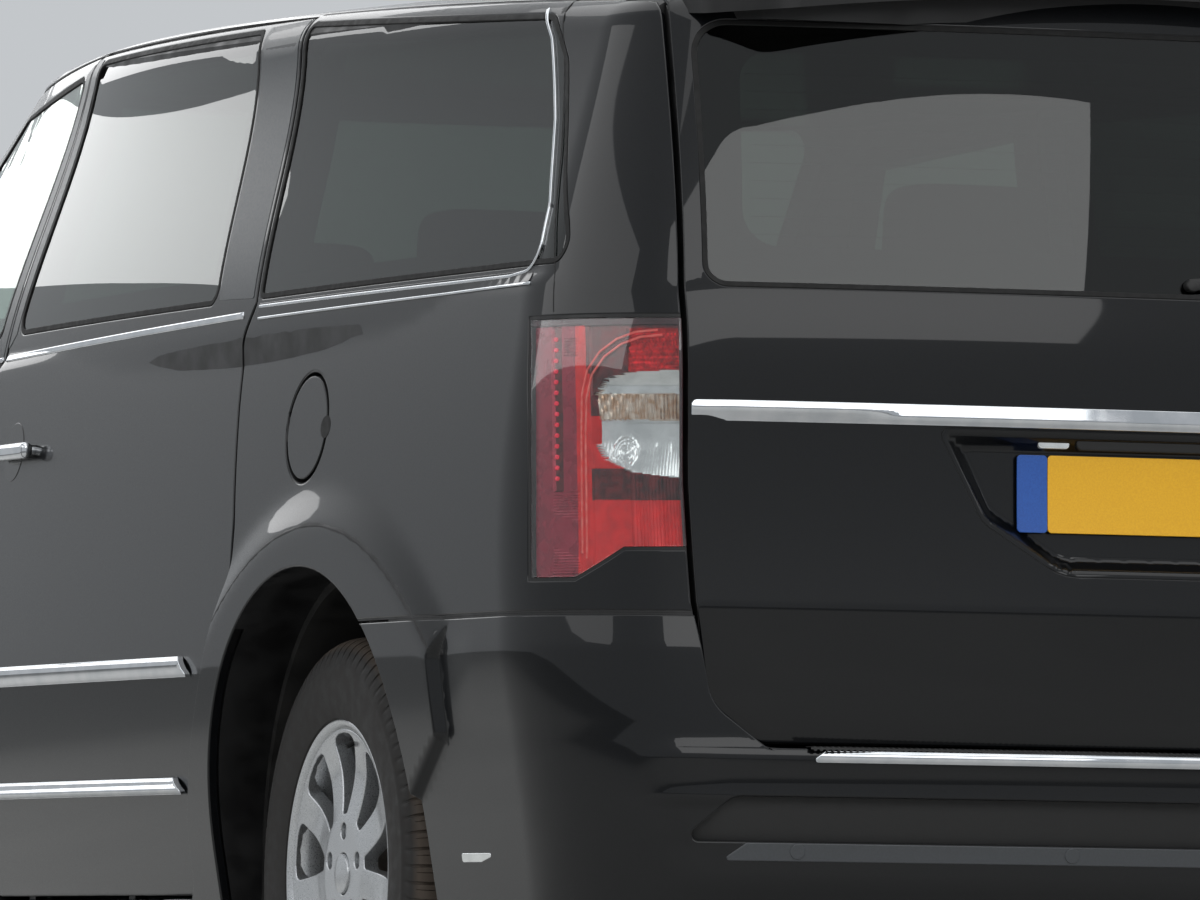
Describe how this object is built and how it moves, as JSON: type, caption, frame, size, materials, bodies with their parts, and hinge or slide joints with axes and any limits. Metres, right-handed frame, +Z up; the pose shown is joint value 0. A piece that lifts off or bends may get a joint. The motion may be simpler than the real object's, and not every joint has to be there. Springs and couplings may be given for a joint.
{
  "type": "minivan",
  "caption": "Large people carrier with sliding side doors, swinging front doors, lifting tailgate, rows of seats and spoked wheels.",
  "frame": {"origin": "on the ground, midway between the two ends and on the centre plane", "axes": "+X towards the front, +Y to the vehicle's left, +Z up"},
  "size_m": [5.1646, 2.276, 1.7458],
  "materials": {
    "body_paint": "gloss black",
    "trim_plastic": "satin charcoal",
    "glass_tint": "tinted",
    "lamp_lens": "red and clear lens",
    "headlamp_lens": "clear lens",
    "chrome": "bright",
    "tyre": "rubber",
    "alloy": "bright silver",
    "steel_dark": "dark",
    "exhaust_steel": "dull",
    "interior_plastic": "grained",
    "seat_fabric": "woven",
    "plate": "yellow reflective"
  },
  "bodies": {
    "body": {"floor_pan": "steel_dark", "body_side_left": "body_paint", "body_side_right": "body_paint", "roof_panel": "body_paint", "front_fenders": "body_paint", "front_bumper": "body_paint", "grille": "trim_plastic", "rear_bumper": "body_paint", "headlamps": "headlamp_lens", "tail_lamps": "lamp_lens", "windscreen": "glass_tint", "side_glass": "glass_tint", "sliding_door_left": "body_paint", "sliding_door_right": "body_paint", "dashboard": "interior_plastic", "front_seats": "seat_fabric", "rear_seats": "seat_fabric", "engine": "steel_dark", "front_suspension": "steel_dark", "rear_axle": "steel_dark", "exhaust": "exhaust_steel", "fuel_tank": "interior_plastic", "side_mouldings": "chrome", "step_strip": "chrome"},
    "hood": {"hood": "body_paint"},
    "tailgate": {"tailgate": "body_paint", "tailgate_glass": "glass_tint", "tailgate_bar": "chrome", "number_plate": "plate", "rear_wiper": "trim_plastic"},
    "front_door_left": {"front_door_left": "body_paint", "front_glass_left": "glass_tint", "door_mirror_left": "body_paint", "front_mouldings_left": "chrome"},
    "front_door_right": {"front_door_right": "body_paint", "front_glass_right": "glass_tint", "door_mirror_right": "body_paint", "front_mouldings_right": "chrome"},
    "fuel_flap": {"fuel_flap": "body_paint"},
    "steering_wheel": {"steering_wheel": "interior_plastic"},
    "knuckle_left": {"knuckle_left": "steel_dark"},
    "knuckle_right": {"knuckle_right": "steel_dark"},
    "wheel_front_left": {"tyre_front_left": "tyre", "rim_front_left": "alloy"},
    "wheel_front_right": {"tyre_front_right": "tyre", "rim_front_right": "alloy"},
    "wheel_rear_left": {"tyre_rear_left": "tyre", "rim_rear_left": "alloy"},
    "wheel_rear_right": {"tyre_rear_right": "tyre", "rim_rear_right": "alloy"}
  },
  "joints": [
    {"name": "hood_hinge", "type": "hinge", "parent": "body", "child": "hood", "pos_m": [1.339, 0, 1.1181], "axis": [0, -1, 0], "range_deg": [0, 50]},
    {"name": "tailgate_hinge", "type": "hinge", "parent": "body", "child": "tailgate", "pos_m": [-2.2855, 0, 1.6579], "axis": [0, 1, 0], "range_deg": [0, 85]},
    {"name": "front_door_left_hinge", "type": "hinge", "parent": "body", "child": "front_door_left", "pos_m": [1.13, 0.9845, 0.7], "axis": [0, 0, -1], "range_deg": [0, 65]},
    {"name": "front_door_right_hinge", "type": "hinge", "parent": "body", "child": "front_door_right", "pos_m": [1.13, -0.9845, 0.7], "axis": [0, 0, 1], "range_deg": [0, 65]},
    {"name": "fuel_flap_hinge", "type": "hinge", "parent": "body", "child": "fuel_flap", "pos_m": [-1.382, 0.96454, 1.016], "axis": [0, 0, -1], "range_deg": [0, 100]},
    {"name": "steer_left", "type": "hinge", "parent": "body", "child": "knuckle_left", "pos_m": [1.578, 0.748, 0.235], "axis": [0, -0.2157, 0.9765], "range_deg": [-32, 32]},
    {"name": "steer_right", "type": "hinge", "parent": "body", "child": "knuckle_right", "pos_m": [1.578, -0.748, 0.235], "axis": [0, 0.2157, 0.9765], "range_deg": [-32, 32]},
    {"name": "steering_wheel_turn", "type": "hinge", "parent": "body", "child": "steering_wheel", "pos_m": [0.905, -0.4, 0.96], "axis": [-0.866, 0, 0.5], "range_deg": [-540, 540]},
    {"name": "wheel_front_left_spin", "type": "hinge", "parent": "knuckle_left", "child": "wheel_front_left", "pos_m": [1.578, 0.82, 0.353], "axis": [0, 1, 0], "continuous": true},
    {"name": "wheel_front_right_spin", "type": "hinge", "parent": "knuckle_right", "child": "wheel_front_right", "pos_m": [1.578, -0.82, 0.353], "axis": [0, 1, 0], "continuous": true},
    {"name": "wheel_rear_left_spin", "type": "hinge", "parent": "body", "child": "wheel_rear_left", "pos_m": [-1.5, 0.82, 0.353], "axis": [0, 1, 0], "continuous": true},
    {"name": "wheel_rear_right_spin", "type": "hinge", "parent": "body", "child": "wheel_rear_right", "pos_m": [-1.5, -0.82, 0.353], "axis": [0, 1, 0], "continuous": true}
  ],
  "couplings": [
    {"joint": "steer_right", "follows": "steer_left", "ratio": 1},
    {"joint": "steering_wheel_turn", "follows": "steer_left", "ratio": 16.875}
  ]
}
